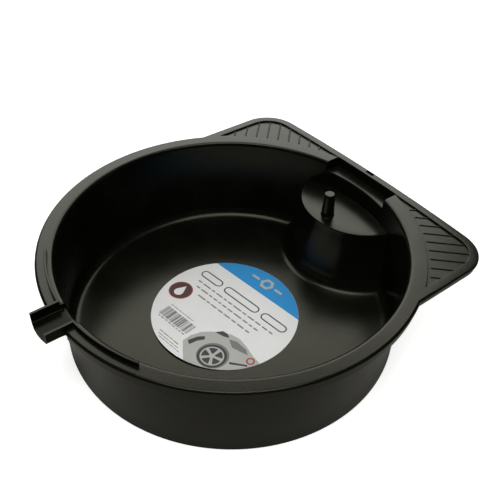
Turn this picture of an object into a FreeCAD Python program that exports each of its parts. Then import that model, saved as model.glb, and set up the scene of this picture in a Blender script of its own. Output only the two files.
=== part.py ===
"""Oil drain pan: a round basin with a turned-down rim, two flat corner grips joined by a straight rear bar,
a pouring spout and a raised stand with a peg that holds an oil filter while it drips.

Millimetres. +Z is up, the origin is the centre of the flat base, the spout points along -X
and the grips and rear bar are at +X. Left is +Y.
"""
import FreeCAD, Part
import Sketcher
import os

UPWARD = FreeCAD.Vector(0, 0, 1)

DIMENSIONS = [
    # basin
    ("pan_height", 102.0),
    ("floor_thick", 3.0),
    ("foot_radius", 168.6),
    ("foot_round", 2.5),
    ("corner_round", 10.0),
    ("corner_top", 13.0),
    ("inner_foot_radius", 165.9),
    ("inner_top_radius", 168.5),
    ("wall_thick", 2.6),
    ("wall_top", 97.6),
    # rim and its turned-down lip
    ("rim_radius", 185.0),
    ("rim_thick", 3.0),
    ("rim_inner_round", 4.0),
    ("lip_inset", 1.5),
    ("lip_thick", 2.5),
    ("lip_depth", 11.5),
    # corner grips
    ("grip_rear", 190.7),
    ("grip_side", 166.6),
    ("grip_bow_radius", 2055.0),
    ("grip_corner", 37.0),
    ("grip_start", 80.3),
    ("grip_skirt_depth", 8.5),
    ("border_width", 9.0),
    ("panel_recess", 2.0),
    ("panel_thick", 3.0),
    ("panel_inner_radius", 182.0),
    ("rib_count", 10),
    ("rib_start_radius", 186.2),
    ("rib_first_angle", 17.7),
    ("rib_pitch", 3.9),
    ("rib_width", 1.4),
    ("rib_height", 0.9),
    ("rib_length", 60.0),
    # rear bar, its hanging slot and the sunk ledge in front of it
    ("pocket_half_width", 43.5),
    ("pocket_cheek", 2.5),
    ("pocket_depth", 11.0),
    ("ledge_thick", 4.0),
    ("ledge_round", 3.0),
    ("bar_inner", 180.4),
    ("bar_wall", 2.5),
    ("slot_width", 9.4),
    ("slot_inner", 184.9),
    ("slot_outer", 189.8),
    # spout and its two guard flanges
    ("spout_half_width", 15.4),
    ("spout_wall", 2.2),
    ("spout_reach", 201.6),
    ("spout_floor_drop", 5.0),
    ("guard_rise", 4.5),
    ("guard_inner_radius", 173.8),
    ("guard_thick", 2.2),
    ("guard_angle", 28.5),
    # filter stand
    ("stand_centre", 176.3),
    ("stand_foot_radius", 77.7),
    ("stand_top_radius", 64.8),
    ("stand_top", 72.0),
    ("stand_wall_thick", 2.6),
    ("platform_thick", 3.0),
    ("peg_place", 127.5),
    ("peg_foot_radius", 7.2),
    ("peg_top_radius", 5.6),
    ("peg_height", 27.2),
    ("peg_round", 1.2),
    # label
    ("label_place", 8.9),
    ("label_radius", 77.3),
    ("label_thick", 0.3),
]

doc = FreeCAD.newDocument("oil_drain_pan")
sheet = doc.addObject("Spreadsheet::Sheet", "dims")
finished = []


def fill_sheet():
    """Puts each driving dimension in the sheet, under an alias."""
    for row, (alias, value) in enumerate(DIMENSIONS, start=1):
        sheet.set("A%d" % row, alias)
        sheet.set("B%d" % row, str(value))
        sheet.setAlias("B%d" % row, alias)
    doc.recompute()


def size(alias):
    return float(sheet.get(alias))


def bind(item, **expressions):
    """Binds an object's properties to expressions of the sheet's cells; a double underscore is a dot."""
    for name, expression in expressions.items():
        item.setExpression(name.replace("__", "."), expression)
    return item


def finish(item, label):
    """Names a finished sub-part and keeps it for writing."""
    item.Label = label
    finished.append(item)
    return item


# Solids ------------------------------------------------------------------------------------------------


def cylinder(radius, low, high, x="0"):
    item = doc.addObject("Part::Cylinder", "cylinder")
    bind(item, Radius=radius, Height="(%s) - (%s)" % (high, low))
    return bind(item, Placement__Base__x=x, Placement__Base__z=low)


def cone(low_radius, high_radius, low, high, x="0"):
    item = doc.addObject("Part::Cone", "cone")
    bind(item, Radius1=low_radius, Radius2=high_radius, Height="(%s) - (%s)" % (high, low))
    return bind(item, Placement__Base__x=x, Placement__Base__z=low)


def block(x, y, z):
    """A box between two limits on each axis, each limit an expression."""
    item = doc.addObject("Part::Box", "block")
    for side, axis, (low, high) in (("Length", "x", x), ("Width", "y", y), ("Height", "z", z)):
        item.setExpression(side, "(%s) - (%s)" % (high, low))
        item.setExpression("Placement.Base." + axis, low)
    return item


def joined(*items):
    item = doc.addObject("Part::MultiFuse", "joined")
    item.Shapes = list(items)
    return item


def shared(first, second):
    item = doc.addObject("Part::Common", "shared")
    item.Base = first
    item.Tool = second
    return item


def less(base, *tools):
    """The base with every tool cut away."""
    for tool in tools:
        item = doc.addObject("Part::Cut", "less")
        item.Base = base
        item.Tool = tool
        base = item
    return base


def mirrored(source, label):
    """The same piece on the other side of the XZ plane."""
    item = doc.addObject("Part::Mirroring", label)
    item.Source = source
    item.Normal = FreeCAD.Vector(0, 1, 0)
    return finish(item, label)


def both_sides(left, name):
    """Finishes a left piece and its mirror image."""
    finish(left, "left_" + name)
    mirrored(left, "right_" + name)


def rounded(base, alias, is_round):
    """Rounds the edges that the test accepts, by a radius from the sheet."""
    doc.recompute()
    radius = size(alias)
    item = doc.addObject("Part::Fillet", "rounded")
    item.Base = base
    numbers = [n for n, edge in enumerate(base.Shape.Edges, start=1) if is_round(edge)]
    item.Edges = [(n, radius, radius) for n in numbers]
    return item


def circle_at(radius, height):
    """A test for the circular edges of one radius at one height."""

    def test(edge):
        if not isinstance(edge.Curve, Part.Circle):
            return False
        return abs(edge.Curve.Radius - radius) < 0.01 and abs(edge.CenterOfMass.z - height) < 0.01

    return test


def origin_plane(body, role):
    for feature in body.Origin.OriginFeatures:
        if feature.Role == role:
            return feature
    raise ValueError("no origin plane " + role)


def outline(body, points):
    """A closed sketch of straight lines in the XZ plane; each corner is a pair of expressions."""
    sketch = body.newObject("Sketcher::SketchObject", "outline")
    sketch.AttachmentSupport = [(origin_plane(body, "XZ_Plane"), "")]
    sketch.MapMode = "FlatFace"
    corners = [FreeCAD.Vector(sheet.evalExpression(x), sheet.evalExpression(z), 0) for x, z in points]
    count = len(corners)
    for n in range(count):
        sketch.addGeometry(Part.LineSegment(corners[n], corners[(n + 1) % count]), False)
    for n in range(count):
        sketch.addConstraint(Sketcher.Constraint("Coincident", n, 2, (n + 1) % count, 1))
    for n, pair in enumerate(points):
        for kind, expression, value in zip(("DistanceX", "DistanceY"), pair, corners[n]):
            index = sketch.addConstraint(Sketcher.Constraint(kind, -1, 1, n, 1, value))
            sketch.setExpression("Constraints[%d]" % index, expression)
    return sketch


def turned(name, points, angle="360"):
    """A body turned about the Z axis from an outline."""
    body = doc.addObject("PartDesign::Body", name)
    sketch = outline(body, points)
    turn = body.newObject("PartDesign::Revolution", "turn")
    turn.Profile = sketch
    turn.ReferenceAxis = (sketch, ["V_Axis"])
    turn.setExpression("Angle", angle)
    sketch.Visibility = False
    return body


# Limits that several sub-parts share -------------------------------------------------------------------

TOP = "dims.pan_height"
RIM_UNDER = "dims.pan_height - dims.rim_thick"
PANEL_TOP = "dims.pan_height - dims.panel_recess"
PANEL_UNDER = PANEL_TOP + " - dims.panel_thick"
LEDGE_TOP = "dims.pan_height - dims.pocket_depth"
LEDGE_UNDER = LEDGE_TOP + " - dims.ledge_thick"
SPOUT_TOP = "dims.pan_height + dims.guard_rise"
SPOUT_FLOOR = "dims.pan_height - dims.spout_floor_drop"
SPOUT_UNDER = SPOUT_FLOOR + " - dims.spout_wall"
FLAT_RADIUS = "dims.inner_foot_radius - dims.corner_round"
POCKET_SIDE = "dims.pocket_half_width"
CHEEK_SIDE = "dims.pocket_half_width + dims.pocket_cheek"
SPOUT_SIDE = "dims.spout_half_width"
SPOUT_INSIDE = "dims.spout_half_width - dims.spout_wall"
WALL_OUTSIDE = "dims.inner_top_radius + dims.wall_thick"
FAR = "2 * dims.rim_radius"


def within(half_width):
    """The strip between minus and plus a half width."""
    return ("-(%s)" % half_width, half_width)


def pocket_space(half_width, low):
    """The space in front of the rear bar, from a height upwards."""
    return block(("dims.rim_radius / 2", FAR), within(half_width), (low, FAR))


def spout_space(half_width, low):
    """The space over the spout, from a height upwards."""
    return block(("-" + FAR, "-dims.rim_radius / 2"), within(half_width), (low, FAR))


def basin_space():
    """The inside of the drafted wall, from the base to the rim."""
    foot = cylinder("dims.inner_foot_radius", "0", "dims.corner_top")
    upper = cone("dims.inner_foot_radius", "dims.inner_top_radius", "dims.corner_top", "dims.wall_top")
    return joined(foot, upper)


# Basin -------------------------------------------------------------------------------------------------


def stand_cone(inset, low, high):
    """The filter stand's drafted outside, moved inwards, between two heights."""
    draft = "(dims.stand_foot_radius - dims.stand_top_radius) / dims.stand_top"
    reach = "dims.stand_foot_radius - %s * (%s) - (%s)"
    return cone(reach % (draft, low, inset), reach % (draft, high, inset), low, high, "dims.stand_centre")


def floor_panel():
    disc = cylinder(FLAT_RADIUS, "0", "dims.floor_thick")
    return finish(less(disc, stand_cone("0", "0", "dims.floor_thick")), "floor_panel")


def corner_ring():
    """The rounded corner between the floor and the wall, which the pan stands on."""
    outside = cylinder("dims.foot_radius", "0", "dims.corner_top")
    outside = rounded(outside, "foot_round", circle_at(size("foot_radius"), 0))
    inside = cylinder("dims.inner_foot_radius", "dims.floor_thick", "dims.corner_top + dims.floor_thick")
    inside = rounded(inside, "corner_round", circle_at(size("inner_foot_radius"), size("floor_thick")))
    return finish(less(outside, inside, cylinder(FLAT_RADIUS, "0", "dims.floor_thick")), "corner_ring")


def side_wall():
    wall = turned("side_wall_body", [
        ("dims.inner_foot_radius", "dims.corner_top"),
        ("dims.foot_radius", "dims.corner_top"),
        (WALL_OUTSIDE, "dims.wall_top"),
        ("dims.inner_top_radius", "dims.wall_top"),
    ])
    openings = (pocket_space(CHEEK_SIDE, LEDGE_UNDER), spout_space(SPOUT_SIDE, SPOUT_UNDER))
    return finish(less(wall, *openings), "side_wall")


def rims():
    """The flat rim over the wall, left and right, with a rounded inner edge."""
    ring = turned("rim_body", [
        ("dims.inner_top_radius", "dims.wall_top"),
        ("dims.inner_top_radius", TOP),
        ("dims.rim_radius", TOP),
        ("dims.rim_radius", RIM_UNDER),
        (WALL_OUTSIDE, RIM_UNDER),
        (WALL_OUTSIDE, "dims.wall_top"),
    ], "180")
    ring = rounded(ring, "rim_inner_round", circle_at(size("inner_top_radius"), size("pan_height")))
    both_sides(less(ring, pocket_space(POCKET_SIDE, "0"), spout_space(SPOUT_SIDE, "0")), "rim")


def lips():
    """The rim's turned-down lip, left and right, from the spout to the grips."""
    low = "dims.pan_height - dims.lip_depth"
    outer = "dims.rim_radius - dims.lip_inset"
    ring = less(cylinder(outer, low, RIM_UNDER), cylinder(outer + " - dims.lip_thick", low, RIM_UNDER))
    half = shared(ring, block(("-" + FAR, "dims.grip_start"), (SPOUT_SIDE, FAR), ("0", FAR)))
    both_sides(half, "lip")


# Corner grips ------------------------------------------------------------------------------------------


def bow(inset, low, high):
    """The shallow curve of the grips' rear edge, moved inwards."""
    return cylinder("dims.grip_bow_radius - (%s)" % inset, low, high, "dims.grip_rear - dims.grip_bow_radius")


def grip_blank(inset, x, y, low, high):
    """The left grip's outline, moved inwards, from a start on each axis out to its rounded outer corner."""
    plate = block((x, "dims.grip_rear"), (y, "dims.grip_side - (%s)" % inset), (low, high))
    plate = shared(plate, bow(inset, low, high))
    doc.recompute()
    radius = plate.evalExpression("dims.grip_corner - (%s)" % inset)
    upright = [
        (edge.CenterOfMass.x + edge.CenterOfMass.y, number)
        for number, edge in enumerate(plate.Shape.Edges, start=1)
        if abs(edge.BoundBox.ZLength - edge.Length) < 1e-6
    ]
    item = doc.addObject("Part::Fillet", "grip_corner")
    item.Base = plate
    item.Edges = [(max(upright)[1], radius, radius)]
    return item


def grip_panels():
    """The recessed panels, which run a little way under the rim."""
    blank = grip_blank("dims.lip_inset", "dims.grip_start", CHEEK_SIDE, PANEL_UNDER, PANEL_TOP)
    both_sides(less(blank, cylinder("dims.panel_inner_radius", "0", TOP)), "grip_panel")


def grip_borders():
    """The raised borders along the grips' outer edges, level with the rim."""
    blank = grip_blank("0", "dims.grip_start", POCKET_SIDE, PANEL_TOP, TOP)
    recess = grip_blank("dims.border_width", "0", "0", PANEL_TOP, TOP)
    both_sides(less(blank, recess, cylinder("dims.rim_radius", "0", TOP)), "grip_border")


def grip_skirts():
    """The skirts that hang from the grip panels' outer edges."""
    low = "dims.pan_height - dims.grip_skirt_depth"
    outside = grip_blank("dims.lip_inset", "dims.grip_start", CHEEK_SIDE, low, PANEL_UNDER)
    inside = grip_blank("dims.lip_inset + dims.lip_thick", "0", "0", low, PANEL_UNDER)
    both_sides(less(outside, inside), "grip_skirt")


def grip_ribs():
    """Thin diagonal ribs on the panels, each starting at the rim and running out to the border."""
    bars = []
    for number in range(int(size("rib_count"))):
        angle = "dims.rib_first_angle + dims.rib_pitch * %d" % number
        bar = doc.addObject("Part::Box", "rib")
        bind(bar, Length="dims.rib_length", Width="dims.rib_width", Height="dims.rib_height")
        bar.Placement.Rotation = FreeCAD.Rotation(UPWARD, 45)
        side_step = "dims.rib_width / 2 * sin(45)"
        bind(
            bar,
            Placement__Base__x="dims.rib_start_radius * cos(%s) + %s" % (angle, side_step),
            Placement__Base__y="dims.rib_start_radius * sin(%s) - %s" % (angle, side_step),
            Placement__Base__z=PANEL_TOP,
        )
        bars.append(bar)
    recess = grip_blank("dims.border_width", "0", "0", PANEL_TOP, TOP)
    both_sides(shared(joined(*bars), recess), "grip_ribs")


# Rear bar, ledge, spout --------------------------------------------------------------------------------


def rear_bar():
    """The straight bar between the grips: an upturned channel with a slot to hang the pan by."""
    low = "dims.pan_height - dims.grip_skirt_depth"
    inner_face = "dims.bar_inner + dims.bar_wall"
    strip = block(("dims.bar_inner", FAR), within(POCKET_SIDE), (RIM_UNDER, TOP))
    web = shared(strip, bow("0", RIM_UNDER, TOP))
    inner = block(("dims.bar_inner", inner_face), within(POCKET_SIDE), (LEDGE_TOP, RIM_UNDER))
    outer = less(bow("0", low, RIM_UNDER), bow("dims.bar_wall", low, RIM_UNDER))
    outer = shared(outer, block(("0", FAR), within(POCKET_SIDE), (low, TOP)))
    slot = block(("dims.slot_inner", "dims.slot_outer"), within("dims.slot_width / 2"), ("0", FAR))
    return finish(less(joined(web, inner, outer), slot), "rear_bar")


def rear_ledge():
    """The sunk ledge in front of the bar, with a cheek at each end that closes the hollow under the rim."""
    bar_face = "dims.bar_inner + dims.bar_wall"
    plate = block(("0", bar_face), within(POCKET_SIDE), (LEDGE_UNDER, LEDGE_TOP))
    plate = less(plate, cylinder("dims.inner_top_radius", "0", TOP))
    plate = shared(plate, pocket_space(POCKET_SIDE, "0"))
    ledge_top = size("pan_height") - size("pocket_depth")
    plate = rounded(plate, "ledge_round", circle_at(size("inner_top_radius"), ledge_top))
    cheeks = []
    low = "dims.pan_height - dims.grip_skirt_depth"
    for near, far in ((POCKET_SIDE, CHEEK_SIDE), ("-(%s)" % CHEEK_SIDE, "-" + POCKET_SIDE)):
        inner = block(("dims.rim_radius / 2", bar_face), (near, far), (LEDGE_UNDER, RIM_UNDER))
        outer = block((bar_face, FAR), (near, far), (low, RIM_UNDER))
        cheeks += [inner, shared(outer, bow("dims.lip_inset", low, RIM_UNDER))]
    hollow = cylinder("dims.inner_top_radius", "0", TOP)
    rim_seat = cylinder(WALL_OUTSIDE, "dims.wall_top", RIM_UNDER)
    return finish(joined(plate, less(joined(*cheeks), hollow, rim_seat)), "rear_ledge")


def spout():
    """An open channel through the rim: a floor and two thin walls, with a rounded outer end."""
    reach = cylinder("dims.spout_reach", SPOUT_UNDER, SPOUT_TOP)
    basin = cylinder("dims.inner_top_radius", "0", FAR)
    floor = block(("-" + FAR, "-dims.rim_radius / 2"), within(SPOUT_INSIDE), (SPOUT_UNDER, SPOUT_FLOOR))
    finish(less(shared(floor, reach), basin), "spout_floor")
    side = block(("-" + FAR, "-dims.rim_radius / 2"), (SPOUT_INSIDE, SPOUT_SIDE), (SPOUT_UNDER, SPOUT_TOP))
    above_rim = cylinder("dims.guard_inner_radius", TOP, SPOUT_TOP)
    both_sides(less(shared(side, reach), basin, above_rim), "spout_wall")


def spout_guards():
    """Thin upright walls on the rim that lead the oil to the spout."""
    sector = cylinder("dims.guard_inner_radius + dims.guard_thick", TOP, SPOUT_TOP)
    sector.setExpression("Angle", "dims.guard_angle")
    sector.Placement.Rotation = FreeCAD.Rotation(UPWARD, 180 - size("guard_angle"))
    inside = cylinder("dims.guard_inner_radius", TOP, SPOUT_TOP)
    both_sides(less(sector, inside, spout_space(SPOUT_SIDE, "0")), "spout_guard")


# Filter stand and label --------------------------------------------------------------------------------


def filter_stand(corner):
    """The raised lens-shaped platform against the wall, its drafted front wall and its peg."""
    under = "dims.stand_top - dims.platform_thick"
    shell = less(stand_cone("0", "0", under), stand_cone("dims.stand_wall_thick", "0", under))
    finish(less(shared(shell, basin_space()), corner), "stand_wall")
    finish(shared(stand_cone("0", under, "dims.stand_top"), basin_space()), "stand_platform")
    tip = "dims.stand_top + dims.peg_height"
    peg = cone("dims.peg_foot_radius", "dims.peg_top_radius", "dims.stand_top", tip, "dims.peg_place")
    top_edge = circle_at(size("peg_top_radius"), size("stand_top") + size("peg_height"))
    finish(rounded(peg, "peg_round", top_edge), "filter_peg")


def label():
    """The round stuck-on label on the floor."""
    top = "dims.floor_thick + dims.label_thick"
    finish(cylinder("dims.label_radius", "dims.floor_thick", top, "-dims.label_place"), "label")


# Checks and files --------------------------------------------------------------------------------------


def check():
    """Stops if any object failed, or if any sub-part's shape is missing or not valid."""
    for item in doc.Objects:
        if any(state in ("Invalid", "Error") for state in item.State):
            raise RuntimeError("%s failed: %s" % (item.Label, item.State))
    for item in finished:
        shape = item.Shape
        if shape.isNull() or not shape.isValid() or not shape.Solids:
            raise RuntimeError("%s has no valid solid" % item.Label)
        print("%-20s %d solid(s) %9.0f mm3" % (item.Label, len(shape.Solids), shape.Volume))


def write():
    os.makedirs("parts", exist_ok=True)
    for item in finished:
        item.Shape.exportStep("parts/%s.step" % item.Label)


fill_sheet()
floor_panel()
filter_stand(corner_ring())
side_wall()
rims()
lips()
grip_panels()
grip_borders()
grip_skirts()
grip_ribs()
rear_bar()
rear_ledge()
spout()
spout_guards()
label()
doc.recompute()
check()
write()
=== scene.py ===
"""The looks of the oil drain pan: a black plastic moulding with a round printed label on its floor.

Metres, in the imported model's frame: +Z up, the spout towards -X, the grips and rear bar towards +X.
"""
import math
import random

import bmesh
import bpy
from mathutils import Matrix, Vector


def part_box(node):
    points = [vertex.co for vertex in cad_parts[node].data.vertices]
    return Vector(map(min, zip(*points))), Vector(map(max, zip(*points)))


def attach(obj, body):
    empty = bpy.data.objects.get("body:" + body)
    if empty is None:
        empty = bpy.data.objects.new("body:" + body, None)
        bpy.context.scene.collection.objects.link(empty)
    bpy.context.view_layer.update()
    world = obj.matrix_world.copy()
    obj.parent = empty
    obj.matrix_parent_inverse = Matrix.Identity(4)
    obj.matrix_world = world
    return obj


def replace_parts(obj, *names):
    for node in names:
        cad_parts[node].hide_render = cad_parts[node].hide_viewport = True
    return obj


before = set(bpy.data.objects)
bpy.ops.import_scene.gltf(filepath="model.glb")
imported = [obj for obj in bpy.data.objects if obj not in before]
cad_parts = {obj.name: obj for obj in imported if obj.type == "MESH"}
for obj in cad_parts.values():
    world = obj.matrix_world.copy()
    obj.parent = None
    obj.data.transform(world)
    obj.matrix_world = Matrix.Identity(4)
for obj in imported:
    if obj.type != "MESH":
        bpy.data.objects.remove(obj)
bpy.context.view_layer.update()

MM = 0.001

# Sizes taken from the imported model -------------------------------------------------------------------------

PAN_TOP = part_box("left_rim")[1].z
RIM_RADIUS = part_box("left_rim")[1].y
FLOOR_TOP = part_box("floor_panel")[1].z
FLOOR_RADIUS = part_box("floor_panel")[1].y
FOOT_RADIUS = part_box("corner_ring")[1].y
CORNER_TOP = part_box("corner_ring")[1].z
WALL_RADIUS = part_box("side_wall")[1].y
GRIP_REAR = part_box("rear_bar")[1].x
GRIP_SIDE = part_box("left_grip_border")[1].y
PANEL_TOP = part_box("left_grip_panel")[1].z
SKIRT_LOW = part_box("left_grip_skirt")[0].z
LIP_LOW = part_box("left_lip")[0].z
POCKET_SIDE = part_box("rear_bar")[1].y
CHEEK_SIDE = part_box("rear_ledge")[1].y
LEDGE_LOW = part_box("rear_ledge")[0].z
SPOUT_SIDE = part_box("left_spout_wall")[1].y
SPOUT_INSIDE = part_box("spout_floor")[1].y
SPOUT_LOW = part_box("spout_floor")[0].z
SPOUT_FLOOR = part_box("spout_floor")[1].z
SPOUT_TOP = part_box("left_spout_wall")[1].z
STAND_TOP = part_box("stand_platform")[1].z
LABEL_LOW, LABEL_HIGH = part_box("label")
PEG_LOW, PEG_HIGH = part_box("filter_peg")

# Sections of the moulding ----------------------------------------------------------------------------------

WALL_THICK = 2.6 * MM
CORNER_ROUND = CORNER_TOP - FLOOR_TOP
CORNER_START = -82
FOOT_ROUND = 2.5 * MM
INNER_FOOT = FLOOR_RADIUS + CORNER_ROUND
INNER_TOP = WALL_RADIUS - WALL_THICK
RIM_THICK = 3.0 * MM
RIM_ROUND = 4.0 * MM
EDGE_ROUND = 2.0 * MM
LIP_INSET = 1.5 * MM
LIP_THICK = 2.5 * MM
LEDGE_TOP = LEDGE_LOW + 4.0 * MM
LEDGE_ROUND = 2.0 * MM
POCKET_ROUND = 0.8 * MM
BOW_RADIUS = 2.055
GRIP_CORNER = 37.0 * MM
BORDER_WIDTH = 9.4 * MM
BAR_WALL = 2.5 * MM
WALL_SPLIT = 86.0 * MM
SPOUT_SEAT = 15.0 * MM
SLOT_INNER = 184.6 * MM
SLOT_OUTER = 190.0 * MM
SLOT_HALF = 5.2 * MM

# Ribs on the grips' panels ---------------------------------------------------------------------------------

RIB_COUNT = 10
RIB_START = 188.0 * MM
RIB_FIRST_ANGLE = 17.7
RIB_PITCH = 3.9
RIB_HEIGHT = 0.9 * MM
RIB_CREST = 0.3 * MM
RIB_FLANK = 0.75
RIB_SEAT = 0.3 * MM
RIB_LEAN = 0.4 * MM
RIB_OVERLAP = 0.4 * MM


def smooth(x):
    x = min(1.0, max(0.0, x))
    return x * x * (3 - 2 * x)


def lerp(a, b, t):
    return a + (b - a) * t


def spread(a, b, count):
    """Values from a to b, both included."""
    return [lerp(a, b, n / (count - 1)) for n in range(count)]


def arc(centre, radius, start, end, steps):
    """Points of an arc in a section plane, from one angle in degrees to another."""
    return [
        (centre[0] + radius * math.cos(math.radians(a)), centre[1] + radius * math.sin(math.radians(a)))
        for a in spread(start, end, steps + 1)
    ]


def basin_radius(z):
    """The basin's inside radius at a height."""
    if z >= CORNER_TOP:
        return lerp(INNER_FOOT, INNER_TOP, (z - CORNER_TOP) / (PAN_TOP - CORNER_TOP))
    rise = CORNER_TOP - max(z, FLOOR_TOP)
    return FLOOR_RADIUS + math.sqrt(max(0.0, CORNER_ROUND ** 2 - rise ** 2))


# Mesh helpers ----------------------------------------------------------------------------------------------


def finish_mesh(name, mesh, material, crease=38):
    """Shades a mesh, keeps its hard edges and makes it a piece of the pan."""
    mesh.validate()
    clean = bmesh.new()
    clean.from_mesh(mesh)
    bmesh.ops.remove_doubles(clean, verts=clean.verts, dist=1e-6)
    bmesh.ops.dissolve_degenerate(clean, edges=clean.edges, dist=1e-6)
    bmesh.ops.recalc_face_normals(clean, faces=clean.faces)
    clean.to_mesh(mesh)
    clean.free()
    for polygon in mesh.polygons:
        polygon.use_smooth = True
    mesh.set_sharp_from_angle(angle=math.radians(crease))
    piece = bpy.data.objects.new(name, mesh)
    bpy.context.scene.collection.objects.link(piece)
    piece.data.materials.append(material)
    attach(piece, "root")
    return piece


def weigh_normals(piece):
    """Flat faces keep flat normals, so that only the rounded edges catch the light."""
    shading = piece.modifiers.new("flat_faces", "WEIGHTED_NORMAL")
    shading.keep_sharp = True
    shading.weight = 80


def grid_mesh(name, rows, closed_rows=False, closed_columns=False, caps=False):
    """A mesh of quads between rows of points; caps fill the first and last row."""
    count = len(rows[0])
    points = [point for row in rows for point in row]
    faces = []
    row_steps = len(rows) if closed_rows else len(rows) - 1
    column_steps = count if closed_columns else count - 1
    for r in range(row_steps):
        after = (r + 1) % len(rows)
        for c in range(column_steps):
            beside = (c + 1) % count
            faces.append((r * count + c, after * count + c, after * count + beside, r * count + beside))
    if caps:
        faces.append(tuple(range(count)))
        last = (len(rows) - 1) * count
        faces.append(tuple(last + c for c in reversed(range(count))))
    mesh = bpy.data.meshes.new(name)
    mesh.from_pydata(points, [], faces)
    return mesh


# The grips' outline ----------------------------------------------------------------------------------------

BOW_CENTRE = Vector((GRIP_REAR - BOW_RADIUS, 0))
CORNER_Y = GRIP_SIDE - GRIP_CORNER
CORNER_X = BOW_CENTRE.x + math.sqrt((BOW_RADIUS - GRIP_CORNER) ** 2 - CORNER_Y ** 2)
CORNER_CENTRE = Vector((CORNER_X, CORNER_Y))


def outline_gap(point):
    """How far a point is outside the grip's outline; negative inside."""
    from_corner = point - CORNER_CENTRE
    bow_slope = (CORNER_CENTRE - BOW_CENTRE).normalized()
    beside_bow = from_corner.y * bow_slope.x - from_corner.x * bow_slope.y
    if from_corner.x > 0 and beside_bow > 0:
        return from_corner.length - GRIP_CORNER
    return max(point.y - GRIP_SIDE, (point - BOW_CENTRE).length - BOW_RADIUS)


def reach_outline(start, way, inset):
    """The distance along a spoke to the grip's outline, moved inwards."""
    near, far = 0.0, 0.12
    for _ in range(40):
        middle = (near + far) / 2
        if outline_gap(start + way * middle) < -inset:
            near = middle
        else:
            far = middle
    return near


def reach_circle(start, way, radius):
    """The distance along a spoke to a circle about the Z axis."""
    along = start.dot(way)
    return -along + math.sqrt(max(0.0, along * along - start.length_squared + radius * radius))


# The shell: one section for each spoke, from the floor's edge over the rim to the foot ---------------------
#
# Every section is a closed loop with the same number of points. A point is (kind, distance, height): 'axis'
# counts from the Z axis inside the basin, 'spoke' along the spoke from the wall's inner face, and 'foot' from
# the axis outside it.

STEP_DOWN = [(-0.5, 0.0), (-0.15, 0.03), (0.0, 0.12), (0.1, 0.88), (0.25, 0.97), (0.6, 1.0)]
STEP_UP = [(-0.95, 1.0), (-0.45, 0.95), (-0.25, 0.82), (0.0, 0.18), (0.2, 0.05), (0.7, 0.0)]
STEP_ROOM = 2.2 * MM
STEP_LEAST = 0.3 * MM
STEP_START = 0.4 * MM
FLAT_POINTS = len(STEP_DOWN) + len(STEP_UP) + 2
EDGE_POINTS = 14
SPOUT_LAND = 0.5 * MM
SPOUT_GAP = 0.2 * MM
LEAN_END = 50
UNDERSIDE = {"rim": PAN_TOP - RIM_THICK, "grip": PANEL_TOP - RIM_THICK, "pocket": PAN_TOP - RIM_THICK}


def inner_points():
    """The floor's edge, the rounded corner and the basin's wall."""
    points = [("axis", FLOOR_RADIUS, 0.0), ("axis", FLOOR_RADIUS, FLOOR_TOP)]
    corner = (INNER_FOOT - CORNER_ROUND, CORNER_TOP)
    points += [("axis", d, z) for d, z in arc(corner, CORNER_ROUND, CORNER_START, 0, 9)]
    points += [("axis", basin_radius(z), z) for z in spread(CORNER_TOP, WALL_SPLIT, 6)[1:]]
    return points


def top_points(spoke, at_rim, at_border, at_outline):
    """The inner rounding, then the flat rim, the grip's panel and border, or the ledge and rear bar."""
    zone = spoke["top"]
    rounding = LEDGE_ROUND if zone == "pocket" else RIM_ROUND
    level = {"rim": PAN_TOP, "grip": PAN_TOP, "pocket": LEDGE_TOP, "spout": SPOUT_LOW - SPOUT_GAP}[zone]
    level -= spoke["drop"]
    points = [("spoke", rounding + d, level - rounding + z) for d, z in arc((0, 0), rounding, 180, 90, 6)]
    last = at_outline - EDGE_ROUND
    room = at_border - at_rim
    if zone == "spout":
        last = rounding + SPOUT_LAND
    if zone in ("rim", "spout") or (zone == "grip" and room <= STEP_LEAST):
        return points + [("spoke", d, level) for d in spread(rounding, last, FLAT_POINTS + 1)[1:]]

    if zone == "grip":
        edge = at_rim
        down = (PAN_TOP - PANEL_TOP) * smooth((room - STEP_START) / STEP_ROOM)
        up = down
        squeeze = min(1.0, max(0.05, room / STEP_ROOM))
    else:
        edge = lerp(rounding, at_border, 0.5)
        down = 0.0
        up = PAN_TOP - LEDGE_TOP
        squeeze = 1.0
    points.append(("spoke", lerp(rounding, edge, 0.5), level))
    for offset, depth in STEP_DOWN:
        move = offset * MM * (squeeze if offset > 0 else 1.0)
        points.append(("spoke", edge + move, level - down * depth))
    for offset, depth in STEP_UP:
        move = offset * MM * (squeeze if offset < 0 else 1.0)
        points.append(("spoke", at_border + move, PAN_TOP - up * depth))
    points.append(("spoke", last, PAN_TOP))
    return points


def edge_points(zone, at_wall, at_border, at_outline):
    """The outer edge, the lip or skirt that hangs from it, and the underside back to the wall."""
    inset = 0.0 if zone == "pocket" else LIP_INSET
    low = LIP_LOW if zone == "rim" else SKIRT_LOW
    bevel_size = 0.5 * MM
    plate_low = PAN_TOP - RIM_THICK
    under = UNDERSIDE[zone]
    outer = at_outline - inset
    inner = outer - LIP_THICK
    edge = (at_outline - EDGE_ROUND, PAN_TOP - EDGE_ROUND)
    profile = arc(edge, EDGE_ROUND, 90, 0, 3)[1:]
    profile += [
        (at_outline, plate_low + 0.3 * MM),
        (at_outline, plate_low),
        (outer, plate_low - 0.1 * MM),
        (outer, low + bevel_size),
        (outer - bevel_size, low),
        (inner + bevel_size, low),
        (inner, low + bevel_size),
        (inner, under),
    ]
    if zone == "pocket":
        bar_back = at_border + BAR_WALL
        profile += [(bar_back, under), (bar_back - 0.01 * MM, LEDGE_LOW), (at_wall, LEDGE_LOW)]
    else:
        middle = lerp(at_wall, inner, 0.5)
        profile += [(middle, under), (middle - 0.01 * MM, under), (at_wall, under)]
    return [("spoke", d, z) for d, z in profile]


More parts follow.
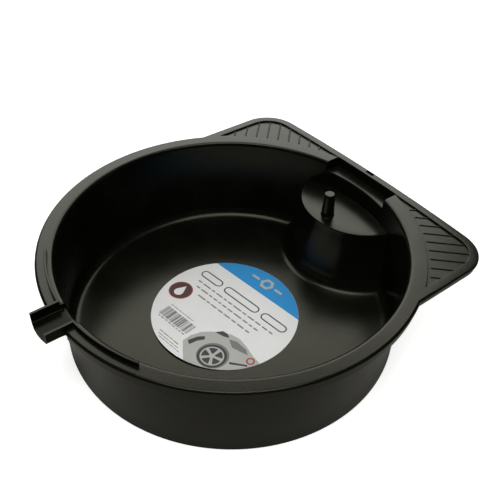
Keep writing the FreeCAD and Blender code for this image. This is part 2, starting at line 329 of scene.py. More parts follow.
def outer_points():
    """The outside of the wall, down to the rounded foot."""
    draft = (WALL_RADIUS - FOOT_RADIUS) / (WALL_SPLIT - CORNER_TOP)
    points = [("foot", FOOT_RADIUS + draft * (z - CORNER_TOP), z) for z in spread(WALL_SPLIT, CORNER_TOP, 5)]
    foot = (FOOT_RADIUS - FOOT_ROUND, FOOT_ROUND)
    points += [("foot", d, z) for d, z in arc(foot, FOOT_ROUND, 0, -90, 5)]
    return points


def section(spoke):
    """The closed section at one spoke."""
    start, way = spoke["start"], spoke["way"]
    at_wall = reach_circle(start, way, WALL_RADIUS)
    at_rim = reach_circle(start, way, RIM_RADIUS)
    at_outline = at_rim
    at_border = at_rim
    if spoke["top"] in ("grip", "pocket"):
        at_outline = max(at_rim, reach_outline(start, way, 0))
        at_border = reach_outline(start, way, BORDER_WIDTH)
    points = inner_points() + top_points(spoke, at_rim, at_border, at_outline)
    if spoke["top"] == "spout":
        _, land, level = points[-1]
        points += [("spoke", land, level - n * 0.1 * MM) for n in range(1, EDGE_POINTS + 1)]
    else:
        points += edge_points(spoke["under"], at_wall, at_border, at_outline)
    return points + outer_points()


def spoke_points(spoke):
    """A spoke's section as points in space."""
    start, way = spoke["start"], spoke["way"]
    inward = start.normalized()
    outside = (start + way * reach_circle(start, way, WALL_RADIUS)).normalized()
    points = []
    for kind, distance, height in section(spoke):
        if kind == "axis":
            place = inward * distance
        elif kind == "foot":
            place = outside * distance
        else:
            place = start + way * distance
        points.append(Vector((place.x, place.y, height)))
    return points


def spoke_at(angle, lean, top, under, drop=0.0):
    """A spoke that starts on the wall's inner face at an angle and leans to a direction, both in degrees."""
    turn = math.radians(angle)
    way = math.radians(lean)
    return {
        "start": Vector((math.cos(turn), math.sin(turn))) * INNER_TOP,
        "way": Vector((math.cos(way), math.sin(way))),
        "top": top,
        "under": under,
        "drop": drop,
    }


def angle_at(y):
    return math.degrees(math.asin(y / INNER_TOP))


def half_spokes():
    """The spokes of the left half, from the middle of the rear bar round to the middle of the spout. Beside
    the bar they run straight back, and by LEAN_END degrees they have turned to point away from the axis."""
    spokes = [spoke_at(angle_at(y), 0, "pocket", "pocket") for y in spread(0, POCKET_SIDE, 17)]
    for step in (0.0, 0.2, 0.5, 1.0):
        y = POCKET_SIDE + step * POCKET_ROUND
        drop = POCKET_ROUND * (1 - math.sqrt(1 - (1 - step) ** 2))
        spokes.append(spoke_at(angle_at(y), 0, "grip", "pocket", drop))
    spokes.append(spoke_at(angle_at(CHEEK_SIDE), 0, "grip", "pocket"))
    first = angle_at(CHEEK_SIDE)
    grip_end = math.degrees(math.asin(GRIP_SIDE / RIM_RADIUS))
    for angle in spread(first, grip_end, 86):
        lean = angle * smooth((angle - first) / (LEAN_END - first))
        spokes.append(spoke_at(angle, lean, "grip", "grip"))
    last = 180 - angle_at(SPOUT_SEAT)
    for angle in spread(grip_end, last, 112):
        spokes.append(spoke_at(angle, angle, "rim", "rim"))
    for y in spread(SPOUT_SEAT, 0, 5):
        spokes.append(spoke_at(180 - angle_at(y), 180 - angle_at(y), "spout", "rim"))
    return spokes


def cut_slot(piece):
    """Cuts the slot in the rear bar, by which the pan hangs."""
    outline = [
        (SLOT_INNER, -SLOT_HALF), (SLOT_OUTER, -SLOT_HALF), (SLOT_OUTER, SLOT_HALF), (SLOT_INNER, SLOT_HALF),
    ]
    corners = [Vector((x, y, z)) for z in (PAN_TOP - 20 * MM, PAN_TOP + 5 * MM) for x, y in outline]
    sides = [(0, 1, 5, 4), (1, 2, 6, 5), (2, 3, 7, 6), (3, 0, 4, 7), (3, 2, 1, 0), (4, 5, 6, 7)]
    mesh = bpy.data.meshes.new("slot_cutter")
    mesh.from_pydata(corners, [], sides)
    cutter = bpy.data.objects.new("slot_cutter", mesh)
    bpy.context.scene.collection.objects.link(cutter)
    cut = piece.modifiers.new("hanging_slot", "BOOLEAN")
    cut.operation = "DIFFERENCE"
    cut.solver = "EXACT"
    cut.object = cutter
    bpy.context.view_layer.update()
    evaluated = piece.evaluated_get(bpy.context.evaluated_depsgraph_get())
    shaped = bpy.data.meshes.new_from_object(evaluated)
    piece.modifiers.remove(cut)
    piece.data = shaped
    bpy.data.objects.remove(cutter)


def pan_shell(material):
    """The wall, rim, grips, rear bar and ledge: one band swept right round the basin."""
    half = [spoke_points(spoke) for spoke in half_spokes()]
    other = [[Vector((p.x, -p.y, p.z)) for p in row] for row in reversed(half)]
    mesh = grid_mesh("pan_shell", half + other[1:-1], closed_rows=True, closed_columns=True)
    piece = finish_mesh("pan_shell", mesh, material)
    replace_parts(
        piece, "corner_ring", "side_wall", "left_rim", "right_rim", "left_lip", "right_lip", "rear_bar",
        "rear_ledge", "left_grip_panel", "right_grip_panel", "left_grip_border", "right_grip_border",
        "left_grip_skirt", "right_grip_skirt",
    )
    cut_slot(piece)
    weigh_normals(piece)
    return piece


def grip_ribs(name, side, material):
    """Diagonal ribs with sloping flanks, from just outside the rim to the grip's border."""
    way = Vector((1, 1)).normalized()
    beside = Vector((-way.y, way.x))
    low = PANEL_TOP - RIB_SEAT
    crest = PANEL_TOP + RIB_HEIGHT
    base = RIB_CREST + RIB_FLANK * (crest - low)
    points = []
    faces = []
    for number in range(RIB_COUNT):
        turn = math.radians(RIB_FIRST_ANGLE + RIB_PITCH * number)
        start = Vector((math.cos(turn), math.sin(turn))) * RIB_START
        length = reach_outline(start, way, BORDER_WIDTH) + RIB_OVERLAP
        first = len(points)
        for distance, lean in ((0.0, RIB_LEAN), (length, 0.0)):
            for across, back, z in (
                (-base, lean, low), (-RIB_CREST, 0, crest), (RIB_CREST, 0, crest), (base, lean, low),
            ):
                place = start + way * (distance - back) + beside * across
                points.append(Vector((place.x, side * place.y, z)))
        faces.append(tuple(first + n for n in (3, 2, 1, 0)))
        faces.append(tuple(first + n for n in (4, 5, 6, 7)))
        for n in range(4):
            after = (n + 1) % 4
            faces.append((first + n, first + after, first + 4 + after, first + 4 + n))
    mesh = bpy.data.meshes.new(name)
    mesh.from_pydata(points, [], faces)
    return finish_mesh(name, mesh, material)


# Spout -----------------------------------------------------------------------------------------------------

SPOUT_REACH = 201.6 * MM
SPOUT_CORNER = 1.2 * MM
SPOUT_BULGE = 2.2 * MM
SPOUT_SHARES = [0.0, 0.012, 0.03, 0.055, 0.085, 0.12] + [0.16 + 0.12 * n for n in range(8)]
GUARD_RADIUS = 173.8 * MM
GUARD_THICK = 2.2 * MM
GUARD_ANGLE = 28.5
GUARD_SEAT = 0.5 * MM
GUARD_OVERLAP = 0.4 * MM


def bevel(piece, width, segments=3):
    """Rounds a piece's hard edges."""
    rounding = piece.modifiers.new("rounded_edges", "BEVEL")
    rounding.width = width
    rounding.segments = segments
    rounding.limit_method = "ANGLE"
    rounding.angle_limit = math.radians(40)
    rounding.harden_normals = True


def on_circle(radius, y):
    """A point's X on the spout side of a circle about the Z axis."""
    return -math.sqrt(radius * radius - y * y)


def rim_profile(z):
    """The radius at which the basin's inside, the rim's rounding or the guard starts at a height."""
    if z > PAN_TOP:
        return GUARD_RADIUS
    rise = max(0.0, z - (PAN_TOP - RIM_ROUND))
    return INNER_TOP + 0.1 * MM + RIM_ROUND - math.sqrt(max(0.0, RIM_ROUND ** 2 - rise ** 2))


def spout_loop(side, place):
    """A closed loop along the channel: out on its inside, and back on its outside."""
    kind, value = place
    inside, outside = [], []
    for share in SPOUT_SHARES:
        level = 1.0
        if kind == "wall":
            inner, outer = (SPOUT_INSIDE, value), (SPOUT_SIDE, value)
            level = 0.0
        elif kind == "floor":
            inner, outer = (value, SPOUT_FLOOR), (value * SPOUT_SIDE / SPOUT_INSIDE, SPOUT_LOW)
        else:
            turn = math.radians(value)
            level = 1 - math.sin(turn)
            thick = SPOUT_SIDE - SPOUT_INSIDE
            out = lerp(SPOUT_CORNER + 0.3 * MM, SPOUT_CORNER + thick, smooth(3 * share - 1.2))
            inner = (
                SPOUT_INSIDE - SPOUT_CORNER * (1 - math.sin(turn)),
                SPOUT_FLOOR + SPOUT_CORNER * (1 - math.cos(turn)),
            )
            outer = (SPOUT_SIDE - out * (1 - math.sin(turn)), SPOUT_LOW + out * (1 - math.cos(turn)))
        for line, (y, z) in ((inside, inner), (outside, outer)):
            start = on_circle(rim_profile(z), y)
            end = -SPOUT_REACH + SPOUT_BULGE * (y / SPOUT_SIDE) ** 2
            x = lerp(start, end, share)
            short = max(0.0, INNER_TOP + RIM_ROUND - math.hypot(x, y))
            fall = RIM_ROUND - math.sqrt(max(0.0, RIM_ROUND ** 2 - short ** 2))
            line.append(Vector((x, side * y, z - level * fall)))
    return inside + outside[::-1]


def spout(material):
    """An open channel through the rim, with rounded corners and a slightly bowed outer end."""
    places = [("floor", share * (SPOUT_INSIDE - SPOUT_CORNER)) for share in (0.0, 0.5, 1.0)]
    places += [("corner", turn) for turn in spread(18, 72, 4)]
    walls = [SPOUT_FLOOR + SPOUT_CORNER, PAN_TOP - 2.5 * MM, PAN_TOP - 1.2 * MM, PAN_TOP - 0.4 * MM]
    walls += [PAN_TOP, PAN_TOP + 0.02 * MM, SPOUT_TOP]
    places += [("wall", z) for z in walls]
    left = [spout_loop(1, place) for place in places]
    right = [spout_loop(-1, place) for place in places[1:]]
    mesh = grid_mesh("spout", right[::-1] + left, closed_columns=True, caps=True)
    piece = finish_mesh("spout", mesh, material)
    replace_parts(piece, "spout_floor", "left_spout_wall", "right_spout_wall")
    bevel(piece, 0.4 * MM)
    return piece


def spout_guard(name, side, material):
    """A thin curved wall on the rim, from the spout to a square end."""
    start = math.degrees(math.asin((SPOUT_SIDE - GUARD_OVERLAP) / GUARD_RADIUS))
    low = PAN_TOP - GUARD_SEAT
    outer = GUARD_RADIUS + GUARD_THICK
    corners = [(GUARD_RADIUS, low), (GUARD_RADIUS, SPOUT_TOP), (outer, SPOUT_TOP), (outer, low)]
    rows = []
    for angle in spread(start, GUARD_ANGLE, 32):
        turn = math.radians(angle)
        rows.append([Vector((-r * math.cos(turn), side * r * math.sin(turn), z)) for r, z in corners])
    mesh = grid_mesh(name, rows, closed_columns=True, caps=True)
    piece = finish_mesh(name, mesh, material)
    bevel(piece, 0.45 * MM)
    return piece


# Filter stand ----------------------------------------------------------------------------------------------

STAND_CENTRE = Vector((176.3 * MM, 0))
STAND_FOOT = 77.7 * MM
STAND_HEAD = 64.8 * MM
STAND_FLOOR_FILLET = 9.0 * MM
STAND_BACK_FILLET = 0.9 * MM
STAND_EDGE = 1.1 * MM
STAND_SPREAD = 72.6
BURIED = 0.5 * MM


def cone_radius(z):
    return lerp(STAND_FOOT, STAND_HEAD, z / STAND_TOP)


def stand_section(way):
    """The stand's closed section in a direction from its centre, as (distance, height)."""
    along = -STAND_CENTRE.dot(way)
    clear = basin_radius(STAND_TOP) ** 2 - STAND_CENTRE.length_squared + along * along
    back = along - math.sqrt(clear) if clear > 0 else along
    low = FLOOR_TOP - 0.4 * MM
    foot = cone_radius(FLOOR_TOP) + STAND_FLOOR_FILLET
    points = [(STAND_FOOT, 0.2 * MM), (STAND_FOOT, low), (foot, low)]
    fillet = (foot, FLOOR_TOP + STAND_FLOOR_FILLET)
    points += arc(fillet, STAND_FLOOR_FILLET, 270, 190, 8)
    edge_low = STAND_TOP - STAND_EDGE
    for z in spread(FLOOR_TOP + STAND_FLOOR_FILLET + MM, edge_low, 9):
        points.append((cone_radius(z), z))
    edge = (cone_radius(edge_low) - STAND_EDGE, edge_low)
    points += arc(edge, STAND_EDGE, 8, 90, 4)
    room = max(0.0, STAND_HEAD - STAND_EDGE - back)
    fillet_size = min(STAND_BACK_FILLET, 0.5 * room)
    points += [(d, STAND_TOP) for d in spread(STAND_HEAD - STAND_EDGE, back + fillet_size, 8)[1:]]
    points += arc((back + fillet_size, STAND_TOP + fillet_size), fillet_size, 270, 184, 6)
    points.append((back - BURIED, STAND_TOP + fillet_size))
    under = STAND_TOP - WALL_THICK
    points.append((back - BURIED, under))
    points += [(d, under) for d in spread(back, cone_radius(under) - WALL_THICK, 5)]
    points += [(cone_radius(z) - WALL_THICK, z) for z in spread(under - MM, 0.2 * MM, 6)]
    return points


def filter_stand(material):
    """The hollow stand: a drafted wall round a flat platform, filleted onto the floor and the wall."""
    rows = []
    for angle in spread(-STAND_SPREAD, STAND_SPREAD, 131):
        way = Vector((-math.cos(math.radians(angle)), math.sin(math.radians(angle))))
        row = []
        for distance, z in stand_section(way):
            place = STAND_CENTRE + way * distance
            limit = basin_radius(z) + BURIED
            if place.length > limit:
                place = place * (limit / place.length)
            row.append(Vector((place.x, place.y, z)))
        rows.append(row)
    mesh = grid_mesh("filter_stand", rows, closed_columns=True, caps=True)
    piece = finish_mesh("filter_stand", mesh, material, crease=50)
    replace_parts(piece, "stand_wall", "stand_platform")
    return piece


def filter_peg(material):
    """The tapered peg, turned about its own axis, with a small flare at its foot."""
    centre = (PEG_LOW + PEG_HIGH) / 2
    foot_radius = PEG_HIGH.y
    top_radius = 5.6 * MM
    top_round = 1.0 * MM
    flare = 0.5 * MM
    top = PEG_HIGH.z
    profile = [(0.0, STAND_TOP - 0.5 * MM), (foot_radius + flare, STAND_TOP - 0.5 * MM)]
    profile += [
        (foot_radius + flare * (1 - math.sin(a)), STAND_TOP + flare * (1 - math.cos(a)))
        for a in spread(0, math.pi / 2, 5)
    ]
    for share in (0.3, 0.6, 0.9):
        height = lerp(STAND_TOP + flare, top - top_round, share)
        profile.append((lerp(foot_radius, top_radius, share), height))
    profile += arc((top_radius - top_round, top - top_round), top_round, 5, 90, 4)
    profile += [(top_radius - 2.0 * MM, top), (0.0, top)]
    rows = []
    for turn in spread(0, math.tau, 49)[:-1]:
        row = [Vector((centre.x + r * math.cos(turn), centre.y + r * math.sin(turn), z)) for r, z in profile]
        rows.append(row)
    mesh = grid_mesh("filter_peg", rows, closed_rows=True)
    piece = finish_mesh("filter_peg.shaped", mesh, material)
    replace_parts(piece, "filter_peg")
    return piece


# Label -----------------------------------------------------------------------------------------------------

LABEL_CENTRE = (LABEL_LOW + LABEL_HIGH) / 2
LABEL_RADIUS = LABEL_HIGH.y
LABEL_TOP = LABEL_HIGH.z
PRINT_TURN = math.radians(8)
PRINT_UP = Vector((math.cos(PRINT_TURN), math.sin(PRINT_TURN)))
PRINT_ALONG = Vector((PRINT_UP.y, -PRINT_UP.x))
PRINT_THICK = 0.03 * MM
PAPER_EDGE = 0.05 * MM
CURL = 1.8 * MM
CURL_START = 0.45
BAND_CHORD = 47.0 * MM


def curl(mesh):
    """Bends the label's lower side up off the floor, where the paper has come loose."""
    away = Vector((-PRINT_UP.x, -PRINT_UP.y, 0))
    centre = Vector((LABEL_CENTRE.x, LABEL_CENTRE.y, 0))
    shape = bmesh.new()
    shape.from_mesh(mesh)
    for share in spread(CURL_START, 0.97, 9):
        parts = list(shape.verts) + list(shape.edges) + list(shape.faces)
        bmesh.ops.bisect_plane(
            shape, geom=parts, plane_co=centre + away * (LABEL_RADIUS * share), plane_no=away, dist=1e-7
        )
    for vertex in shape.verts:
        along = (vertex.co - centre).dot(away) / LABEL_RADIUS
        rise = max(0.0, along - CURL_START) / (1 - CURL_START)
        vertex.co.z += CURL * rise * rise
    shape.to_mesh(mesh)
    shape.free()


def print_layer(name, shapes, material, layer=1):
    """Printed shapes on the label, given as outlines in millimetres along and up the print."""
    build = bmesh.new()
    low = LABEL_TOP - PAPER_EDGE
    high = LABEL_TOP + layer * PRINT_THICK
    for outline in shapes:
        rings = []
        for z in (low, high):
            ring = []
            for along, up in outline:
                place = PRINT_ALONG * (along * MM) + PRINT_UP * (up * MM)
                ring.append(build.verts.new((LABEL_CENTRE.x + place.x, LABEL_CENTRE.y + place.y, z)))
            rings.append(ring)
        build.faces.new(rings[1])
        build.faces.new(list(reversed(rings[0])))
        for n in range(len(outline)):
            after = (n + 1) % len(outline)
            build.faces.new((rings[0][n], rings[0][after], rings[1][after], rings[1][n]))
    bmesh.ops.recalc_face_normals(build, faces=build.faces)
    mesh = bpy.data.meshes.new(name)
    build.to_mesh(mesh)
    build.free()
    curl(mesh)
    mesh.set_sharp_from_angle(angle=math.radians(30))
    piece = bpy.data.objects.new(name, mesh)
    bpy.context.scene.collection.objects.link(piece)
    piece.data.materials.append(material)
    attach(piece, "root")
    return piece


def round_shape(along, up, radius, steps=40, squeeze=1.0):
    return [
        (along + radius * math.cos(a), up + squeeze * radius * math.sin(a))
        for a in spread(0, math.tau, steps + 1)[:-1]
    ]


def bar_shape(along, up, length, height):
    """A bar with rounded ends, given by its left end and its middle height."""
    radius = height / 2
    ends = [(length - radius, -90, 90), (radius, 90, 270)]
    return [
        (along + d, up + z)
        for middle, start, end in ends
        for d, z in arc((middle, 0), radius, start, end, 6)
    ]


def hollow_bar(along, up, length, height, width):
    """The outline of a bar with rounded ends, made of short blocks."""
    outer = bar_shape(along, up, length, height)
    inner = bar_shape(along + width, up, length - 2 * width, height - 2 * width)
    shapes = []
    for n in range(len(outer)):
        after = (n + 1) % len(outer)
        shapes.append([outer[n], outer[after], inner[after], inner[n]])
    return shapes


def ring_shapes(along, up, radius, width, steps=48):
    """A ring made of short blocks, so that its middle stays open."""
    shapes = []
    for first, last in zip(spread(0, 360, steps + 1), spread(0, 360, steps + 1)[1:]):
        outer = arc((along, up), radius, first, last, 1)
        inner = arc((along, up), radius - width, last, first, 1)
        shapes.append(outer + inner)
    return shapes


def word_row(up, start, end, height, rng, shortest, longest):
    """A row of bars of different lengths, in place of a line of small print."""
    shapes = []
    along = start
    while along < end - shortest:
        length = min(rng.uniform(shortest, longest), end - along)
        shapes.append(bar_shape(along, up, length, height))
        along += length + height * 1.1
    return shapes


def label(paper, blue, dark, brown, red, silver, grey):
    """The round paper label: a blue band with a hexagon nut, outlined bars and dashes in place of print, a
    badge with a drop, stripes, and a picture of a car's corner. Its shapes are in millimetres from its
    centre."""
    rng = random.Random(8)
    profile = [
        (0.0, LABEL_LOW.z),
        (LABEL_RADIUS, LABEL_LOW.z),
        (LABEL_RADIUS, LABEL_TOP - PAPER_EDGE),
        (LABEL_RADIUS - PAPER_EDGE, LABEL_TOP),
        (0.0, LABEL_TOP),
    ]
    disc = [
        [
            (LABEL_CENTRE.x + radius * math.cos(a), LABEL_CENTRE.y + radius * math.sin(a), z)
            for a in spread(0, math.tau, 73)[:-1]
        ]
        for radius, z in profile
    ]
    base = finish_mesh("label_paper", grid_mesh("label_paper", disc, closed_columns=True), paper)
    curl(base.data)
    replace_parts(base, "label")

    radius = LABEL_RADIUS / MM - 0.15
    chord = BAND_CHORD / MM
    reach = math.degrees(math.acos(chord / radius))
    print_layer("label_band", [arc((0, 0), radius, 90 - reach, 90 + reach, 40)], blue)

    nut = round_shape(2, 62.5, 8.4, steps=6)
    bars = [bar_shape(-20, 62.5, 11, 3.0), bar_shape(13, 62.5, 11, 3.0)]
    print_layer("label_emblem", [nut] + bars, silver, 2)
    print_layer("label_emblem_bore", [round_shape(2, 62.5, 4.2)], blue, 3)

    title = []
    for start, length in ((-62, 31), (-26, 50), (29, 34)):
        title += hollow_bar(start, 25.5, length, 10.5, 1.5)
    print_layer("label_title", title, dark)
    small = word_row(13, -55, 56, 1.7, rng, 4, 12)
    small += word_row(5.4, -50, 45, 1.7, rng, 4, 12)
    small += word_row(-2.8, -39, 38, 1.7, rng, 4, 12)
    small += word_row(-32.6, -48, -14, 0.9, rng, 2, 6)
    small += word_row(-52.0, -46, -6, 1.3, rng, 2, 5)
    small += word_row(-65.0, -28, 4, 1.1, rng, 4, 9)
    small += word_row(-68.6, -26, 7, 0.8, rng, 3, 8)
    small += word_row(-71.4, -22, 8, 0.8, rng, 3, 8)
    print_layer("label_small_print", small, grey)

    along = -48.0
    stripes = []
    while along < -5.5:
        width = rng.choice((0.5, 0.5, 0.9, 1.4))
        stripes.append([(along, -50), (along + width, -50), (along + width, -36), (along, -36)])
        along += width + rng.choice((0.5, 0.7, 1.2))
    print_layer("label_stripes", stripes, dark)

    badge_at = (-57, -11.5)
    print_layer("label_badge", [round_shape(*badge_at, 13.2)], red)
    print_layer("label_badge_inside", [round_shape(*badge_at, 12.0)], brown, 2)
    drop = [(-57.0, -3.0)] + arc((-57.0, -14.5), 5.2, 30, -210, 20)
    print_layer("label_badge_drop", [drop], paper, 3)

    body = [(-1, -58), (-1, -48), (3, -37), (10, -29), (20, -21)]
    body += [(28, -17), (38, -15.5), (50, -18), (62, -22)]
    body += arc((0, 0), radius, -18, -76, 24)
    body += [(10, -68)]
    print_layer("label_picture_body", [body], silver)
    print_layer("label_picture_window", [[(30, -23.5), (38, -20), (52, -21), (58, -25), (40, -29)]], grey, 2)
    mirror = [(13, -27), (18, -20), (24, -19.5), (29, -22), (24, -24.5)]
    bumper = [(2, -54), (5, -44), (10, -38), (13, -41), (9, -48), (7, -57)]
    sill = [(51, -44), (66, -34), (67.5, -35.5), (53, -46)]
    print_layer("label_picture_details", [mirror, bumper, sill], dark, 2)
    print_layer("label_picture_lamp", ring_shapes(65, -28.5, 4.4, 1.6), red, 2)
    print_layer("label_picture_arch", [round_shape(34, -50, 16.5)], grey, 2)
    wheel_at = (34, -51)
    print_layer("label_picture_tyre", [round_shape(*wheel_at, 15)], dark, 3)
    wheel = ring_shapes(*wheel_at, 12.2, 1.6)
    hub = Vector(wheel_at)
    for n in range(5):
        turn = math.radians(90 + 72 * n)
        out = Vector((math.cos(turn), math.sin(turn)))
        beside = Vector((-out.y, out.x))
        rim = hub + out * 11
        corners = [hub - beside, rim - beside * 1.9, rim + beside * 1.9, hub + beside]
        wheel.append([tuple(c) for c in corners])
    print_layer("label_picture_wheel", wheel, silver, 4)
    print_layer("label_picture_hub", [round_shape(*wheel_at, 3)], silver, 5)


# Materials -------------------------------------------------------------------------------------------------

PLASTIC_SHINE = 0.22
# Lower shine for the spout's plastic: painted shade in the channel and on its walls.
SPOUT_SHADE_SHINE = 0.07


class Nodes:
    """A short way to build a material's node tree. An input may be a plain value or another node's output."""

    def __init__(self, name):
        self.material = bpy.data.materials.new(name)
        self.material.use_nodes = True
        self.tree = self.material.node_tree
        self.shader = self.tree.nodes["Principled BSDF"]
        self.place = self.tree.nodes.new("ShaderNodeTexCoord").outputs["Object"]

    def feed(self, node, name, value):
        if hasattr(value, "is_output"):
            self.tree.links.new(value, node.inputs[name])
        else:
            node.inputs[name].default_value = value

    def node(self, kind, inputs, **settings):
        made = self.tree.nodes.new(kind)
        for name, value in settings.items():
            setattr(made, name, value)
        for name, value in inputs.items():
            self.feed(made, name, value)
        return made

    def noise(self, scale, detail=3.0, roughness=0.5, place=None):
        inputs = {"Vector": place or self.place, "Scale": scale, "Detail": detail, "Roughness": roughness}
        return self.node("ShaderNodeTexNoise", inputs).outputs["Fac"]

    def ramp(self, value, low, high, start=0.0, end=1.0):
        inputs = {"Value": value, "From Min": low, "From Max": high, "To Min": start, "To Max": end}
        return self.node("ShaderNodeMapRange", inputs).outputs["Result"]

    def maths(self, operation, first, second):
        return self.node("ShaderNodeMath", {0: first, 1: second}, operation=operation).outputs[0]

    def mix(self, factor, first, second):
        """Mixes two colours; the numbers are the colour sockets of the mix node."""
        return self.node("ShaderNodeMix", {0: factor, 6: first, 7: second}, data_type="RGBA").outputs[2]

    def bump(self, height, distance, strength=1.0, under=None):
        inputs = {"Height": height, "Distance": distance, "Strength": strength}
        if under:
            inputs["Normal"] = under
        return self.node("ShaderNodeBump", inputs).outputs["Normal"]

    def into(self, name, value):
        self.feed(self.shader, name, value)


def black_plastic(name, shine=PLASTIC_SHINE, heights=None):
    """Black polypropylene: a fine moulded grain, cloudy gloss, faint handling marks and dust. Between two
    heights the shine may rise from a lower value, which is painted shade, to the usual one."""
    n = Nodes(name)
    cloud = n.noise(22, detail=4, roughness=0.55)
    grain = n.noise(1900, detail=2, roughness=0.6)
    colour = n.mix(n.ramp(cloud, 0.3, 0.7), (0.0026, 0.0026, 0.0018, 1), (0.0060, 0.0059, 0.0040, 1))
    stretched = n.node("ShaderNodeMapping", {"Vector": n.place, "Scale": (60, 420, 90)}, vector_type="POINT")
    marks = n.ramp(n.noise(6, detail=5, roughness=0.75, place=stretched.outputs["Vector"]), 0.66, 0.72)
    n.into("Base Color", n.mix(n.maths("MULTIPLY", marks, 0.10), colour, (0.10, 0.10, 0.085, 1)))
    gloss = n.ramp(cloud, 0.25, 0.75, 0.20, 0.27)
    n.into("Roughness", n.maths("ADD", gloss, n.ramp(grain, 0.3, 0.7, -0.03, 0.04)))
    n.into("Specular IOR Level", shine)
    if heights:
        # Below the upper height the shine stays at the lower value, painting shade; at the top it is back to
        # the usual shine.
        height = n.node("ShaderNodeSeparateXYZ", {"Vector": n.place}).outputs["Z"]
        n.into("Specular IOR Level", n.ramp(height, *heights, shine, PLASTIC_SHINE))
    n.into("Specular Tint", (1.0, 0.985, 0.76, 1))
    mottle = n.bump(n.noise(430, detail=2, roughness=0.6), distance=0.05 * MM, strength=0.6)
    peel = n.bump(n.noise(150, detail=2), distance=0.06 * MM, strength=0.5, under=mottle)
    waves = n.bump(n.noise(7, detail=2), distance=0.6 * MM, strength=0.35, under=peel)
    n.into("Normal", n.bump(grain, distance=0.04 * MM, strength=0.6, under=waves))
    return n.material


def label_print(name, colour):
    """Coated printed paper: slightly uneven ink and a faint ripple in the surface."""
    n = Nodes(name)
    cloud = n.noise(60, roughness=0.6)
    ink = n.noise(2600, detail=2, roughness=0.6)
    shade = n.maths("ADD", n.ramp(cloud, 0.3, 0.7, 0.0, 0.6), n.ramp(ink, 0.3, 0.7, 0.0, 0.4))
    low = [c * 0.93 for c in colour] + [1]
    n.into("Base Color", n.mix(shade, low, list(colour) + [1]))
    n.into("Roughness", n.ramp(cloud, 0.3, 0.7, 0.5, 0.6))
    n.into("Specular IOR Level", 0.12)
    ripple = n.bump(n.noise(30, detail=2), distance=0.4 * MM, strength=0.25)
    n.into("Normal", n.bump(ink, distance=0.01 * MM, strength=0.3, under=ripple))
    return n.material


def seen_by_camera(tree, hidden, shown):
    """A strength that is higher where the camera looks straight at the surroundings."""
    strength = tree.nodes.new("ShaderNodeMapRange")
    strength.inputs["To Min"].default_value = hidden
    strength.inputs["To Max"].default_value = shown
    tree.links.new(tree.nodes.new("ShaderNodeLightPath").outputs["Is Camera Ray"], strength.inputs["Value"])
    return strength.outputs["Result"]


def floor_material():
    n = Nodes("studio_floor")
    n.into("Base Color", n.mix(n.noise(3), (0.62, 0.61, 0.55, 1), (0.65, 0.64, 0.58, 1)))
    n.into("Roughness", 0.8)
    n.into("Specular IOR Level", 0.0)
    n.into("Emission Color", (1, 1, 1, 1))
    n.into("Emission Strength", seen_by_camera(n.tree, 0.0, 0.80))
    return n.material


# Scene -----------------------------------------------------------------------------------------------------

CAMERA_LENS = 48.2
CAMERA_DISTANCE = 0.65414
CAMERA_TARGET = Vector((0.01294, -0.01058, 0.08614))
CAMERA_HEADING = 39.26
CAMERA_ELEVATION = 40.87
CAMERA_ROLL = 2.30
LIGHT_TARGET = Vector((0, 0, 0.05))


def camera():
    """A camera that looks down past the spout, towards the rear bar."""
    data = bpy.data.cameras.new("camera")
    data.lens = CAMERA_LENS
    data.sensor_width = 36
    data.clip_start = 0.01
    item = bpy.data.objects.new("camera", data)
    bpy.context.scene.collection.objects.link(item)
    heading = math.radians(90 - CAMERA_HEADING)
    elevation = math.radians(CAMERA_ELEVATION)
    level = math.cos(elevation)
    forward = Vector((level * math.cos(heading), level * math.sin(heading), -math.sin(elevation)))
    turn = forward.to_track_quat("-Z", "Y").to_matrix()
    turn = turn @ Matrix.Rotation(math.radians(CAMERA_ROLL), 3, "Z")
    item.matrix_world = Matrix.Translation(CAMERA_TARGET - forward * CAMERA_DISTANCE) @ turn.to_4x4()
    bpy.context.scene.camera = item


def softbox(name, direction, distance, width, height, power):
    """An area light that faces the pan from a direction."""
    data = bpy.data.lights.new(name, "AREA")
    data.shape = "RECTANGLE"
    data.size = width
    data.size_y = height
    data.energy = power
    item = bpy.data.objects.new(name, data)
    bpy.context.scene.collection.objects.link(item)
    direction = Vector(direction).normalized()
    turn = direction.to_track_quat("Z", "Y").to_matrix().to_4x4()
    item.matrix_world = Matrix.Translation(direction * distance + LIGHT_TARGET) @ turn
    return item


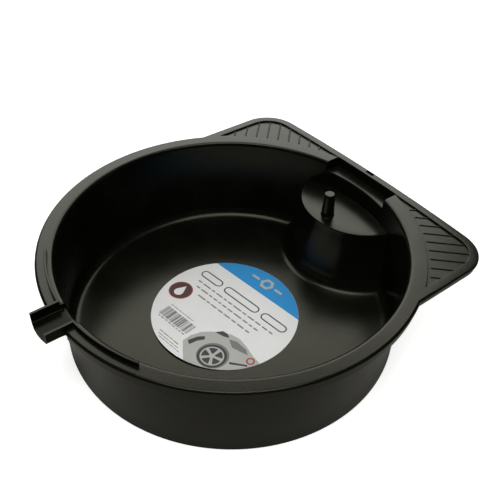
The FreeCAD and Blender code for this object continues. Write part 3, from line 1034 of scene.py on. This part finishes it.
def studio():
    """A white floor and white surroundings, a large soft light behind, a fill light that lights without being
    mirrored in the plastic, and an overhead light that is only mirrored in it."""
    size = 6.0
    mesh = bpy.data.meshes.new("studio_floor")
    corners = [(-size, -size, 0), (size, -size, 0), (size, size, 0), (-size, size, 0)]
    mesh.from_pydata([Vector(c) - Vector((0, 0, 0.1 * MM)) for c in corners], [], [(0, 1, 2, 3)])
    floor = bpy.data.objects.new("studio_floor", mesh)
    bpy.context.scene.collection.objects.link(floor)
    floor.data.materials.append(floor_material())
    world = bpy.data.worlds.new("studio")
    world.use_nodes = True
    sky = world.node_tree.nodes["Background"]
    sky.inputs["Color"].default_value = (1, 1, 1, 1)
    world.node_tree.links.new(seen_by_camera(world.node_tree, 0.02, 1.0), sky.inputs["Strength"])
    bpy.context.scene.world = world
    bpy.context.scene.view_settings.view_transform = "Standard"
    softbox("back_softbox", (0.545, 0.839, 0.78), 1.5, 1.6, 1.1, 19)
    fill = softbox("front_fill", (-0.25, -0.3, 1), 1.6, 0.6, 0.6, 14)
    fill.visible_glossy = False
    overhead = softbox("overhead_softbox", (-0.03, -0.04, 1), 1.6, 0.9, 0.9, 12)
    overhead.visible_diffuse = False


# Build -----------------------------------------------------------------------------------------------------

plastic = black_plastic("black_polypropylene")
camera()
studio()
pan_shell(plastic)
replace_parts(grip_ribs("left_ribs", 1, plastic), "left_grip_ribs")
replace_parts(grip_ribs("right_ribs", -1, plastic), "right_grip_ribs")
# The spout gets a copy of the plastic with less shine, which is painted shade in the channel and on its walls;
# the walls' tops keep the usual shine.
spout(black_plastic("spout_painted_shade_polypropylene", SPOUT_SHADE_SHINE, (SPOUT_TOP - 1.4 * MM, SPOUT_TOP - 0.3 * MM)))
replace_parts(spout_guard("left_guard", 1, plastic), "left_spout_guard")
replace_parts(spout_guard("right_guard", -1, plastic), "right_spout_guard")
filter_stand(plastic)
filter_peg(plastic)
label(
    label_print("label_white", (0.80, 0.80, 0.78)),
    label_print("label_blue", (0.03, 0.28, 0.62)),
    label_print("label_dark", (0.06, 0.06, 0.06)),
    label_print("label_brown", (0.09, 0.05, 0.045)),
    label_print("label_red", (0.36, 0.06, 0.05)),
    label_print("label_silver", (0.45, 0.45, 0.42)),
    label_print("label_grey", (0.20, 0.20, 0.195)),
)
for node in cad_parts.values():
    node.data.materials.clear()
    node.data.materials.append(plastic)
